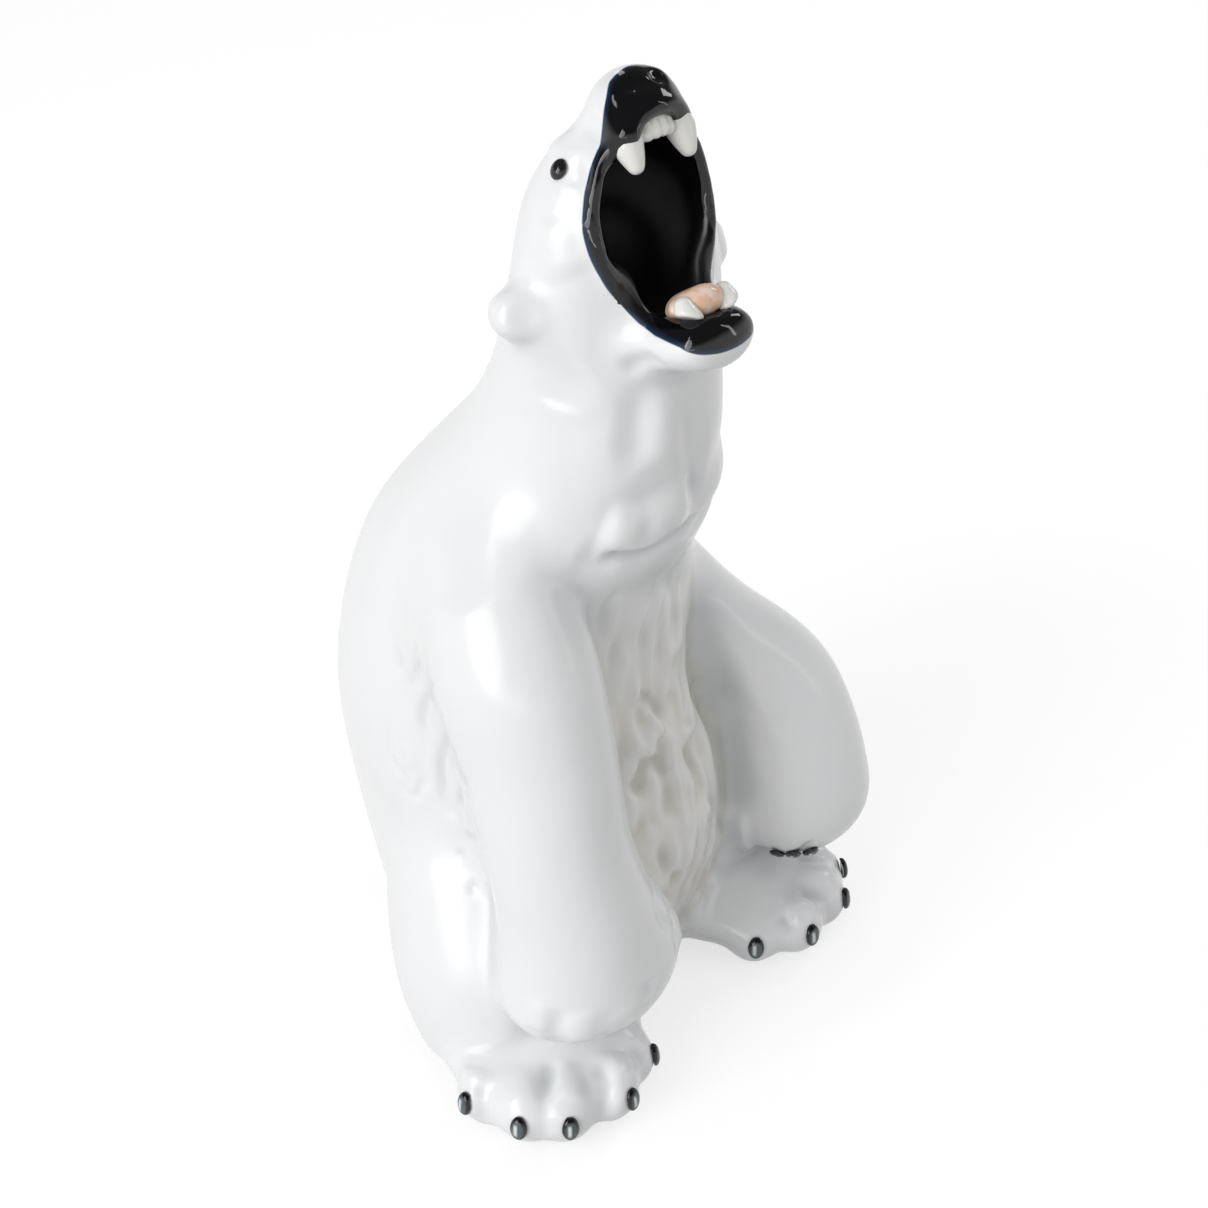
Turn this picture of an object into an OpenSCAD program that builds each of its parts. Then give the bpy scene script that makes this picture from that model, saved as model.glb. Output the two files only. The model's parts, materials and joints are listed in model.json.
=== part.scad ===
// Seated porcelain polar bear with its head thrown back and its mouth open.
// Slip castings and press-moulded sprigs, each its own solid, luted together at their seams.
// Every body form is a skin: rings of points around a spine, drawn through a few stations.
// Millimetres. +Z is up, the bear looks along -Y, and its right side is at -X.
// The origin is on the floor, under the middle of the figure.

/* [Trunk] */
// Width of the flat seat that stands on the floor
seat_width = 100; // [94:1:106]
// Depth of the flat seat
seat_depth = 92; // [86:1:98]
// Width across the hips
hip_width = 124; // [118:1:130]
// Depth at the hips
hip_depth = 120; // [114:1:126]
// Height of the hips
hip_height = 60; // [54:1:66]
// Width of the belly
belly_width = 128; // [122:1:134]
// Depth of the belly
belly_depth = 115; // [109:1:121]
// Rise from the hips to the belly
belly_rise = 58; // [54:1:62]
// Width across the shoulders
shoulder_width = 116; // [110:1:122]
// Depth at the shoulders
shoulder_depth = 102; // [96:1:108]
// Rise from the belly to the shoulders
shoulder_rise = 42; // [39:1:45]
// Width across the chest
chest_width = 104; // [99:1:109]
// Depth of the chest
chest_depth = 99; // [94:1:104]
// Rise from the shoulders to the chest
chest_rise = 27; // [25:1:29]
// Width of the neck
neck_width = 73; // [70:1:76]
// Depth of the neck
neck_depth = 75; // [72:1:78]
// Rise from the chest to the neck
neck_rise = 38; // [35:1:41]
// Wall of a hollow casting
wall = 5; // [3.5:0.5:6]
// Diameter of the vent hole under the seat
vent_d = 12; // [6:1:20]

/* [Head] */
// Turn of the head towards the bear's left, in degrees
head_turn = -9; // [-15:1:0]
// Width across the cheeks
cheek_width = 70; // [67:1:73]
// Depth of the head at the cheeks
cheek_depth = 50; // [47:1:53]
// Rise from the neck to the cheeks
cheek_rise = 40; // [37:1:43]
// Width of the head at the eyes
brow_width = 54; // [51:1:57]
// Depth of the head at the eyes
brow_depth = 42; // [40:1:44]
// Rise from the cheeks to the eyes
brow_rise = 30; // [28:1:32]
// Width of the muzzle
muzzle_width = 29; // [27:1:31]
// Depth of the muzzle
muzzle_depth = 25; // [23:1:27]
// Rise from the eyes to the muzzle
muzzle_rise = 22; // [20:1:24]
// Rise from the muzzle to the tip of the nose
nose_rise = 13; // [11:1:15]
// Width of an eye
eye_width = 5.5; // [4.5:0.5:7]
// Height of an eye
eye_height = 6.5; // [5.5:0.5:8]
// Width of an ear
ear_width = 18; // [15:1:20]
// How far an ear stands out of the head
ear_length = 8.5; // [7:0.5:10]
// Thickness of an ear
ear_thickness = 16; // [13:1:18]

/* [Mouth] */
// Width of the open mouth
mouth_width = 44; // [42:1:46]
// Height of the open mouth, lip to lip
mouth_height = 56; // [53:1:59]
// Depth of the mouth
mouth_depth = 42; // [36:1:44]
// Slope of the mouth opening, from upright
mouth_slope = 35; // [32:1:38]
// Width of the lower jaw at the chin
chin_width = 27; // [25:1:29]
// Thickness of the lower jaw at the chin
chin_thickness = 17; // [15:1:19]
// Length of a canine tooth, root included
canine_length = 16; // [15:0.5:17]
// Diameter of a canine tooth at its root
canine_d = 8.5; // [8:0.5:9.5]
// Width of an incisor tooth
incisor_width = 2.5; // [2.2:0.1:2.7]
// Width of the tongue
tongue_width = 18; // [16:1:20]
// Thickness of the tongue
tongue_thickness = 9; // [7:1:11]

/* [Legs] */
// Thickness of a foreleg at the elbow
foreleg_d = 46; // [42:1:50]
// Width of a fore paw
paw_width = 67; // [63:1:71]
// Thickness of a fore paw
paw_thickness = 57; // [53:1:61]
// Width of a hind foot
foot_width = 71; // [67:1:74]
// Length of a hind foot
foot_length = 78; // [74:1:82]
// Height of a hind foot at the instep
foot_height = 36; // [33:1:39]
// Diameter of a toe
toe_d = 23; // [21:0.5:24]
// Width of a claw
claw_width = 6; // [5:0.5:7]
// Length of a claw
claw_length = 9; // [7:0.5:10]
// Width of the tail
tail_width = 22; // [18:1:26]
// How far the tail stands out of the rump
tail_length = 14; // [10:1:18]

/* [Hidden] */
// Right is -1 and left is 1
RIGHT = -1;
LEFT = 1;
SIDES = [RIGHT, LEFT];
HIND_TOES = [1, 2, 3, 4, 5];
FORE_TOES = [-1, 0, 1];

function side_name(side) = side == RIGHT ? "right" : "left";
function hind_claw_name(side, toe) = str(side_name(side), "_hind_claw_", toe);
function fore_claw_name(side, toe) = str(side_name(side), "_fore_claw_", toe + 2);

// Glaze colours
white_glaze = [0.93, 0.94, 0.95];
black_glaze = [0.08, 0.09, 0.11];
tooth_glaze = [0.90, 0.90, 0.88];
tongue_glaze = [0.84, 0.58, 0.42];

// Sides and rings of the skins
trunk_sides = 32;
limb_sides = 24;
sprig_sides = 12;
bead_sides = 16;
rings_per_span = 4;
sprig_rings = 2;
dome_rings = 4;

// Room that a cutting block needs to clear the whole figure
block = 400;

// Directions that keep a skin's rings from twisting
UP = [0, 0, 1];
BACK = [0, 1, 0];

// Heights of the trunk's levels
belly_z = hip_height + belly_rise;
shoulder_z = belly_z + shoulder_rise;
chest_z = shoulder_z + chest_rise;
neck_z = chest_z + neck_rise;
cheek_z = neck_z + cheek_rise;
brow_z = cheek_z + brow_rise;
muzzle_z = brow_z + muzzle_rise;

// Where the middle of each level lies, front to back
seat_y = 28;
hip_y = 26;
belly_y = 36;
shoulder_y = 32.5;
chest_y = 20.5;
neck_y = 2;
cheek_y = -4;
brow_y = -4;
muzzle_y = -10.5;

// Stations of a skin: x, y and z of its spine, its half width and half depth, and its turn
function level(z, width, depth, y, turn = 0) = [0, y, z, width/2, depth/2, turn];
function station(point, half_width, half_depth) = concat(point, [half_width, half_depth, 0]);
function inset(stations, by) = [for (s = stations) [s[0], s[1], s[2], s[3] - by, s[4] - by, s[5]]];
function place(s) = [s[0], s[1], s[2]];

// The whole trunk, from the seat to the muzzle
trunk = [
    level(0, seat_width, seat_depth, seat_y),
    level(hip_height, hip_width, hip_depth, hip_y),
    level(belly_z, belly_width, belly_depth, belly_y),
    level(shoulder_z, shoulder_width, shoulder_depth, shoulder_y),
    level(chest_z, chest_width, chest_depth, chest_y),
    level(neck_z, neck_width, neck_depth, neck_y, head_turn/2),
    level(cheek_z, cheek_width, cheek_depth, cheek_y, head_turn),
    level(brow_z, brow_width, brow_depth, brow_y, head_turn),
    level(muzzle_z, muzzle_width, muzzle_depth, muzzle_y, head_turn)
];
NECK = 5;
CHEEK = 6;
BROW = 7;

// How high the tail sits, and how far the eyes lie above the brow
tail_height = 27;
eye_rise = 8.4;

// The hollow of the torso and neck
hollow_crown = 12;
trunk_hollow = concat(
    [level(wall, seat_width - 2*wall, seat_depth - 2*wall, seat_y)],
    inset([for (i = [1 : NECK]) trunk[i]], wall)
);

// The seam between the torso and the head, low at the throat and high at the nape
seam_rise = 25;
seam_tilt = 12;

// The mouth's frame: its middle, and the ways out of it, up along its opening and across it
mouth_out = 6.5;
mouth_lift = 28;
function turned(v) = [
    v[0]*cos(head_turn) - v[1]*sin(head_turn),
    v[0]*sin(head_turn) + v[1]*cos(head_turn),
    v[2]
];
mouth_way = turned([0, -cos(mouth_slope), sin(mouth_slope)]);
mouth_up = turned([0, sin(mouth_slope), cos(mouth_slope)]);
mouth_across = turned([1, 0, 0]);
mouth_middle = [0, brow_y, cheek_z + mouth_lift] + turned([0, -brow_depth/2 - mouth_out, 0]);
function mouth_point(x, up, out) = mouth_middle + mouth_across*x + mouth_up*up + mouth_way*out;

// The mouth cavity, from in front of the lips to the throat
mouth_flare = 14;
flare_grow = 4;
palate_shrink = 5;
throat_width = 28;
throat_height = 30;
throat_round = 10;
cheek_lining = 2;
cavity = [
    station(mouth_point(0, 0, mouth_flare), mouth_width/2 + flare_grow, mouth_height/2 + flare_grow),
    station(mouth_point(0, 0, 0), mouth_width/2, mouth_height/2),
    station(mouth_point(0, 0, -mouth_depth/2), mouth_width/2 - cheek_lining, mouth_height/2 - palate_shrink),
    station(mouth_point(0, 0, throat_round - mouth_depth), throat_width/2, throat_height/2)
];

// The lower jaw, from inside the cheeks to the chin
jaw_drop = 12;
cheek_flesh = 8.5;
jaw_root_width = cheek_width - 2*cheek_flesh;
jaw_root_height = 28;
chin_round = 5;
lip_rise = 1;
jaw_root = [0, cheek_y, cheek_z - jaw_drop];
chin = mouth_point(0, -mouth_height/2, 0) + [0, 0, lip_rise - chin_thickness/2];
function jaw_station(t) = station(
    mix(jaw_root, chin, t),
    mix(jaw_root_width, chin_width, t)/2,
    mix(jaw_root_height, chin_thickness, t)/2
);
jaw = [jaw_station(0), jaw_station(0.5), jaw_station(1)];

// Teeth stand just inside the lips: how far out of the mouth, how far apart and how much of them shows
upper_tooth_out = 2;
lower_tooth_out = -4;
upper_canine_x = 9.5;
lower_canine_x = 7.5;
upper_canine_show = 13;
lower_canine_show = 8;
canine_shoulder = 0.5;
canine_point = 0.9;
incisor_count = 6;
incisor_length = 9;
incisor_show = 4;
incisor_overlap = 0.4;
incisor_arch = 8;
incisor_forward = 3;

// The tongue lies in the floor of the mouth
tongue_sink = 4.5;
tongue_round = 4;
tongue_back = 13;
tongue_front = 4;
tongue_taper = 2;

// Where the eyes and ears sit on the trunk: level, then angle around it
eye_level = BROW + eye_rise/muzzle_rise;
eye_angle = 2;
eye_bulge = 2;
ear_level = CHEEK;
ear_angle = 2;
sprig_taper = 2;
sprig_root = 8;

// Where the feet stand: the middle of the ball and how far the toes turn out
foot_x = 55;
foot_y = -22;
right_foot_splay = 32;
left_foot_splay = 20;
sole_cut = 3;
toe_sink = 1.5;
toe_length = 14;
toe_turns = [-69, -34, 5, 32, 66];

function ball(side) = [side*foot_x, foot_y, 0];
function turned_out(side, angle) = [side*sin(angle), -cos(angle), 0];
function foot_splay(side) = side == LEFT ? left_foot_splay : right_foot_splay;
function toe_way(side, toe) = turned_out(side, foot_splay(side) + toe_turns[toe - 1]);
function toe_middle(side, toe) =
    ball(side) + toe_way(side, toe)*(foot_width - toe_d)/2 + [0, 0, toe_d/2 - toe_sink];

// A hind foot from heel to ball
heel_round = 12;
heel_width = 49;
instep_back = 22;
instep_width = 72;
ball_width = 66;
ball_height = 32;
ball_round = 22;
function foot_station(side, back, width, height) = station(
    ball(side) - turned_out(side, foot_splay(side))*back + [0, 0, height/2 - sole_cut], width/2, height/2
);
function foot(side) = [
    foot_station(side, foot_length - foot_width/2 - heel_round, heel_width, foot_height),
    foot_station(side, instep_back, instep_width, foot_height + sole_cut),
    foot_station(side, 0, ball_width, ball_height)
];

// A limb's stations, from its spine as it lies on the left side and its half widths and half depths
function limb(side, spine, halves) = [for (i = [0 : len(spine) - 1])
    [side*spine[i][0], spine[i][1], spine[i][2], halves[i][0], halves[i][1], 0]];

// A haunch from the hip to the floor
haunch_spine = [[36, 30, 92], [45, 19, 60], [54, 7, 32], [58, -1, 13]];
haunch_halves = [[22, 26], [26, 31], [26.5, 31], [23, 26]];
function haunch(side) = limb(side, haunch_spine, haunch_halves);

// A foreleg from the shoulder to the paw, which presses a little into the ball of the foot
paw_round = 22;
paw_press = 1;
paw_z = ball_height - sole_cut + paw_round - paw_press;
left_paw_slim = 6;
wrist_swell = 2.5;
right_arm_spine = [
    [40, 16, 188], [48, -4, 157], [50, -16, 128],
    [51, -24, 98], [48, -28, 74], [43, -29, paw_z]
];
left_arm_spine = [
    [34, 38, 168], [37, 25, 139], [50, 4, 114],
    [66.5, -16.5, 93], [70, -24, 72], [70, -30, paw_z]
];
arm_halves = [[18, 24], [24, 27], [23, 25]];
elbow_half = foreleg_d/2;
wrist_half = elbow_half + wrist_swell;
right_paw_half = [paw_width/2, paw_thickness/2];
left_paw_half = [paw_width/2 - left_paw_slim, (paw_thickness - left_paw_slim)/2];
function arm_and_paw(paw_half) =
    concat(arm_halves, [[elbow_half, elbow_half], [wrist_half, wrist_half], paw_half]);
function foreleg(side) = side == RIGHT
    ? limb(side, right_arm_spine, arm_and_paw(right_paw_half))
    : limb(side, left_arm_spine, arm_and_paw(left_paw_half));

// Skin functions
function mix(a, b, t) = a + (b - a)*t;
function unit(v) = v/norm(v);
function last(list) = list[len(list) - 1];
function pick(list, i) = list[max(0, min(len(list) - 1, i))];
function catmull(a, b, c, d, t) =
    0.5*(2*b + (c - a)*t + (2*a - 5*b + 4*c - d)*t*t + (3*b - a - 3*c + d)*t*t*t);
function along(p, t) =
    let(i = min(len(p) - 2, floor(t)))
    catmull(pick(p, i - 1), p[i], p[i + 1], pick(p, i + 2), t - i);
function heading(p, t, flat) =
    flat ? UP : unit(place(along(p, min(len(p) - 1, t + 0.1))) - place(along(p, max(0, t - 0.1))));
function across_way(way, guide, turn) =
    let(level_way = unit(cross(guide, way))) level_way*cos(turn) + cross(way, level_way)*sin(turn);
function ring(s, way, guide, sides) =
    let(across = across_way(way, guide, s[5]), over = cross(way, across))
    [for (j = [0 : sides - 1]) let(a = 360*j/sides) place(s) + across*s[3]*cos(a) + over*s[4]*sin(a)];
function dome_station(s, way, reach, a) =
    concat(place(s) + way*reach*sin(a), [s[3]*cos(a), s[4]*cos(a), s[5]]);
function dome(s, way, guide, reach, sides, turns) =
    [for (a = turns) ring(dome_station(s, way, reach, a), way, guide, sides)];
function skin_rings(p, sides, per, flat, guide, root, tip) =
    let(steps = (len(p) - 1)*per, turns = [for (k = [1 : dome_rings - 1]) 90*k/dome_rings])
    concat(
        root > 0 ? dome(p[0], heading(p, 0, flat), guide, -root, sides, [for (a = turns) 90 - a]) : [],
        [for (i = [0 : steps]) ring(along(p, i/per), heading(p, i/per, flat), guide, sides)],
        tip > 0 ? dome(last(p), heading(p, len(p) - 1, flat), guide, tip, sides, turns) : []
    );

// A closed skin through stations, with a dome or a flat cap at each end
module skin(p, sides, per, flat = false, guide = UP, root = 0, tip = 0) {
    rings = skin_rings(p, sides, per, flat, guide, root, tip);
    n = sides;
    m = len(rings) - 1;
    foot_pole = place(p[0]) - heading(p, 0, flat)*root;
    head_pole = place(last(p)) + heading(p, len(p) - 1, flat)*tip;
    walls = [for (i = [0 : m - 1]) for (j = [0 : n - 1])
        each let(a = i*n + j, b = i*n + (j + 1)%n) [[a, a + n, b], [b, a + n, b + n]]];
    foot_fan = [for (j = [0 : n - 1]) [(m + 1)*n, j, (j + 1)%n]];
    head_fan = [for (j = [0 : n - 1]) [(m + 1)*n + 1, m*n + (j + 1)%n, m*n + j]];
    polyhedron(concat([for (r = rings) each r], [foot_pole, head_pole]), concat(walls, foot_fan, head_fan));
}

// A point on the trunk's skin and the way straight out of it
function trunk_point(t, angle) =
    let(s = along(trunk, t), across = across_way(UP, BACK, s[5]))
    place(s) + across*s[3]*cos(angle) + cross(UP, across)*s[4]*sin(angle);
function trunk_way(t, angle) = unit(cross(
    trunk_point(t, angle + 1) - trunk_point(t, angle - 1),
    trunk_point(t + 0.05, angle) - trunk_point(t - 0.05, angle)
));
function side_angle(side, angle) = side == RIGHT ? 180 - angle : angle;

// Forms that the castings are cut from
module trunk_form() {
    skin(trunk, trunk_sides, rings_per_span, flat = true, guide = BACK, tip = nose_rise);
}

module hollow_form() {
    skin(trunk_hollow, trunk_sides, rings_per_span, flat = true, guide = BACK, tip = hollow_crown);
}

module below_seam() {
    translate([0, 0, chest_z + seam_rise]) rotate([seam_tilt, 0, 0])
        translate([-block/2, -block/2, -block]) cube(block);
}

module below_floor() {
    translate([-block/2, -block/2, -block]) cube(block);
}

module cavity_form() {
    skin(cavity, limb_sides, rings_per_span, tip = throat_round);
}

module head_form() {
    difference() {
        trunk_form();
        below_seam();
        cavity_form();
    }
}

module jaw_form() {
    difference() {
        skin(jaw, limb_sides, rings_per_span, tip = chin_round);
        trunk_form();
        cavity_form();
    }
}

module toe_form(side, toe) {
    middle = toe_middle(side, toe);
    skin([
        station(middle - toe_way(side, toe)*toe_length, toe_d/2, toe_d/2),
        station(middle, toe_d/2, toe_d/2)
    ], sprig_sides, sprig_rings, root = toe_d/2, tip = toe_d/2);
}

module hind_leg_form(side) {
    skin(foot(side), limb_sides, rings_per_span, root = heel_round, tip = ball_round);
    skin(haunch(side), limb_sides, rings_per_span, guide = BACK, tip = heel_round);
    for (toe = HIND_TOES) toe_form(side, toe);
}

module foreleg_form(side) {
    skin(foreleg(side), limb_sides, rings_per_span, guide = BACK, tip = paw_round);
}

// Castings
module torso_casting() {
    color(white_glaze) difference() {
        intersection() {
            trunk_form();
            below_seam();
        }
        hollow_form();
        translate([0, seat_y, -wall]) cylinder(d = vent_d, h = 3*wall, $fn = 48);
    }
}

module head_casting() {
    color(white_glaze) difference() {
        head_form();
        hollow_form();
    }
}

module lower_jaw() {
    color(white_glaze) jaw_form();
}

module foreleg_casting(side) {
    color(white_glaze) difference() {
        foreleg_form(side);
        skin(inset(foreleg(side), wall), limb_sides, rings_per_span, guide = BACK, tip = paw_round - wall);
        trunk_form();
        hind_leg_form(side);
    }
}

module hind_leg_casting(side) {
    color(white_glaze) difference() {
        hind_leg_form(side);
        trunk_form();
        below_floor();
    }
}

// Sprigs
module ear(side) {
    angle = side_angle(side, ear_angle);
    seat = trunk_point(ear_level, angle);
    way = trunk_way(ear_level, angle);
    color(white_glaze) difference() {
        skin([
            station(seat - way*sprig_root, ear_width/2 - sprig_taper, ear_thickness/2),
            station(seat, ear_width/2, ear_thickness/2),
            station(seat + way*ear_length/2, ear_width/2, ear_thickness/2)
        ], sprig_sides*2, sprig_rings, tip = ear_length/2);
        trunk_form();
    }
}

// A round bead, buried to its middle: its seat, the way it faces, its size and how proud it stands
module bead(seat, way, width, height, proud) {
    skin([
        station(seat - way*proud, width/2, height/2),
        station(seat, width/2, height/2)
    ], bead_sides, sprig_rings, tip = proud);
}

module eye(side) {
    angle = side_angle(side, eye_angle);
    color(black_glaze) difference() {
        bead(trunk_point(eye_level, angle), trunk_way(eye_level, angle), eye_width, eye_height, eye_bulge);
        trunk_form();
    }
}

module tail() {
    tail_level = tail_height/hip_height;
    seat = trunk_point(tail_level, 90);
    way = trunk_way(tail_level, 90);
    color(white_glaze) difference() {
        skin([
            station(seat - way*sprig_root, tail_width/2, tail_width/2),
            station(seat, tail_width/2, tail_width/2),
            station(seat + way*tail_length/2, tail_width/2 - sprig_taper, tail_width/2 - sprig_taper)
        ], sprig_sides*2, sprig_rings, tip = tail_length/2);
        trunk_form();
    }
}

// A canine from its root to its tip, along the mouth opening
module canine_form(x, out, root_up, tip_up) {
    skin([
        station(mouth_point(x, root_up, out), canine_d/2, canine_d/2),
        station(mouth_point(x, mix(root_up, tip_up, canine_shoulder), out), canine_d/2, canine_d/2),
        station(mouth_point(x, mix(root_up, tip_up, canine_point), out), canine_d/4, canine_d/4)
    ], sprig_sides, sprig_rings, guide = BACK, tip = canine_length*(1 - canine_point));
}

module upper_canine_form(side) {
    tip_up = mouth_height/2 - upper_canine_show;
    canine_form(side*upper_canine_x, upper_tooth_out, tip_up + canine_length, tip_up);
}

module upper_canine(side) {
    color(tooth_glaze) intersection() {
        upper_canine_form(side);
        cavity_form();
    }
}

module lower_canine_form(side) {
    tip_up = lower_canine_show - mouth_height/2;
    canine_form(side*lower_canine_x, lower_tooth_out, tip_up - canine_length, tip_up);
}

module lower_canine(side) {
    color(tooth_glaze) difference() {
        intersection() {
            lower_canine_form(side);
            cavity_form();
        }
        jaw_form();
    }
}

// The incisors stand in an arch between the upper canines
module upper_incisors() {
    tip_up = mouth_height/2 - incisor_show;
    half_width = (incisor_width + incisor_overlap)/2;
    turn = 2*asin(incisor_width/(2*incisor_arch));
    color(tooth_glaze) difference() {
        union() {
            for (i = [0 : incisor_count - 1]) {
                angle = (i - (incisor_count - 1)/2)*turn;
                x = incisor_arch*sin(angle);
                out = upper_tooth_out + incisor_forward - incisor_arch*(1 - cos(angle));
                skin([
                    station(mouth_point(x, tip_up + incisor_length, out), half_width, half_width),
                    station(mouth_point(x, tip_up, out), half_width, half_width)
                ], sprig_sides, sprig_rings, guide = BACK, tip = half_width);
            }
        }
        head_form();
        for (side = SIDES) upper_canine_form(side);
    }
}

module tongue() {
    floor_up = tongue_sink - mouth_height/2 + lip_rise;
    half = tongue_width/2;
    color(tongue_glaze) difference() {
        skin([
            station(mouth_point(0, floor_up, -tongue_back), half - tongue_taper, tongue_thickness/2),
            station(mouth_point(0, floor_up, -(tongue_back + tongue_front)/2), half, tongue_thickness/2),
            station(mouth_point(0, floor_up, -tongue_front), half - tongue_taper, tongue_thickness/2)
        ], sprig_sides*2, rings_per_span, root = tongue_round, tip = tongue_round);
        head_form();
        jaw_form();
        for (side = SIDES) lower_canine_form(side);
    }
}

// A claw lies on the front of its toe
claw_proud = 1.6;
claw_pitch = 8;
module hind_claw(side, toe) {
    way = toe_way(side, toe)*cos(claw_pitch) + UP*sin(claw_pitch);
    color(black_glaze) difference() {
        bead(toe_middle(side, toe) + way*toe_d/2, way, claw_width, claw_length, claw_proud);
        hind_leg_form(side);
    }
}

// The fore claws are tucked under the paw's inner edge
fore_claw_turn = 48;
fore_claw_bearing = 64;
fore_claw_fan = 20;
module fore_claw(side, toe) {
    p = foreleg(side);
    s = last(p);
    way = heading(p, len(p) - 1, false);
    across = across_way(way, BACK, 0);
    bearing = 270 + side*(fore_claw_bearing + toe*fore_claw_fan);
    out = across*s[3]*cos(bearing) + cross(way, across)*s[4]*sin(bearing);
    seat = place(s) + way*paw_round*sin(fore_claw_turn) + out*cos(fore_claw_turn);
    face = unit(way*sin(fore_claw_turn) + unit(out)*cos(fore_claw_turn));
    color(black_glaze) difference() {
        bead(seat, face, claw_width, claw_length, claw_proud);
        foreleg_form(side);
        hind_leg_form(side);
        trunk_form();
    }
}

// Everything in its place
torso_casting();
head_casting();
lower_jaw();
upper_incisors();
tongue();
tail();
for (side = SIDES) {
    ear(side);
    eye(side);
    upper_canine(side);
    lower_canine(side);
    foreleg_casting(side);
    hind_leg_casting(side);
    for (toe = HIND_TOES)
        hind_claw(side, toe);
    for (toe = FORE_TOES)
        fore_claw(side, toe);
}
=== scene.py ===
"""Looks of the seated porcelain polar bear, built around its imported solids."""

import json
import math

import bpy
import numpy as np
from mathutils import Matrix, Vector
from mathutils.bvhtree import BVHTree
from mathutils.kdtree import KDTree

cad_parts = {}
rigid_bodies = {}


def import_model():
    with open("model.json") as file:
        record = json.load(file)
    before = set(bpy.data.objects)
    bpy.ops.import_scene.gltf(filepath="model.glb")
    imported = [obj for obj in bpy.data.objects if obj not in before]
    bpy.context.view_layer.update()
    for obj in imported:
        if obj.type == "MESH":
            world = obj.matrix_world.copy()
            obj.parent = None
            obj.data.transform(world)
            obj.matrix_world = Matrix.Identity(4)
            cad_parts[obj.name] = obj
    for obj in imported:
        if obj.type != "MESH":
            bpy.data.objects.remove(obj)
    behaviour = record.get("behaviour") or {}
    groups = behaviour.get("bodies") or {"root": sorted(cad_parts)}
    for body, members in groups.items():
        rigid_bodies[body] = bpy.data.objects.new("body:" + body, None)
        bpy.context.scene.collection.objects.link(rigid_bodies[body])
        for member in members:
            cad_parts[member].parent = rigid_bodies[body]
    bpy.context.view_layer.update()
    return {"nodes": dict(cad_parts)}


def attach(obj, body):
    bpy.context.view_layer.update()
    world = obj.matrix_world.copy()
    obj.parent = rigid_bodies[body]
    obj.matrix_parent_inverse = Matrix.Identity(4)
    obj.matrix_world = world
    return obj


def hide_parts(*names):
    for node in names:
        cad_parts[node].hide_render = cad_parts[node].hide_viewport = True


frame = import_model()
bpy.ops.object.select_all(action="DESELECT")

MM = 0.001

# The camera stands where the photograph was taken, and strokes are drawn through its picture
PICTURE = 1208
LENS_PIXELS = 2250.7
SENSOR = 36.0
VIEW_TURN = math.radians(-50)
VIEW_RISE = math.radians(34)
VIEW_FAR = 0.710
VIEW_AIM = np.array([0.0, 0.0, 0.151])
VIEW_BACK = np.array([
    math.sin(VIEW_TURN) * math.cos(VIEW_RISE),
    -math.cos(VIEW_TURN) * math.cos(VIEW_RISE),
    math.sin(VIEW_RISE),
])
VIEW_RIGHT = np.array([math.cos(VIEW_TURN), math.sin(VIEW_TURN), 0.0])
VIEW_UP = np.cross(VIEW_BACK, VIEW_RIGHT)
VIEW_EYE = VIEW_AIM + VIEW_FAR * VIEW_BACK

# The castings that the white skin covers
CASTINGS = [
    "torso_casting", "head_casting", "lower_jaw", "tail", "right_ear", "left_ear",
    "right_foreleg", "left_foreleg", "right_hind_leg", "left_hind_leg",
]
CLAY_GRAIN = 1.02 * MM
WELD_GAP = 1e-6

# The mouth's own frame, as the solids have it
HEAD_TURN = math.radians(-9)
MOUTH_SLOPE = math.radians(35)
MOUTH_MIDDLE = np.array([-4.30, -31.16, 293.0]) * MM


def turned_with_head(x, y, z):
    c, s = math.cos(HEAD_TURN), math.sin(HEAD_TURN)
    return np.array([x * c - y * s, x * s + y * c, z])


MOUTH_OUT = turned_with_head(0, -math.cos(MOUTH_SLOPE), math.sin(MOUTH_SLOPE))
MOUTH_UP = turned_with_head(0, math.sin(MOUTH_SLOPE), math.cos(MOUTH_SLOPE))
MOUTH_ACROSS = turned_with_head(1, 0, 0)


def mouth_point(across, up, out):
    """A point given in millimetres across, up and out of the mouth."""
    return MOUTH_MIDDLE + MM * (across * MOUTH_ACROSS + up * MOUTH_UP + out * MOUTH_OUT)


def in_mouth_frame(points):
    rel = (points - MOUTH_MIDDLE) / MM
    return rel @ MOUTH_ACROSS, rel @ MOUTH_UP, rel @ MOUTH_OUT


# Meshes as arrays

def points_of(mesh):
    flat = np.empty(len(mesh.vertices) * 3)
    mesh.vertices.foreach_get("co", flat)
    return flat.reshape(-1, 3)


def normals_of(mesh):
    flat = np.empty(len(mesh.vertices) * 3, np.float32)
    mesh.vertex_normals.foreach_get("vector", flat)
    return flat.reshape(-1, 3).astype(float)


def put_points(mesh, points):
    mesh.vertices.foreach_set("co", points.astype(np.float32).ravel())
    mesh.update()


def edges_of(mesh):
    flat = np.empty(len(mesh.edges) * 2, np.int32)
    mesh.edges.foreach_get("vertices", flat)
    return flat.reshape(-1, 2)


def write_attribute(mesh, name, values):
    attribute = mesh.attributes.new(name, "FLOAT", "POINT")
    attribute.data.foreach_set("value", values.astype(np.float32))


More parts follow.
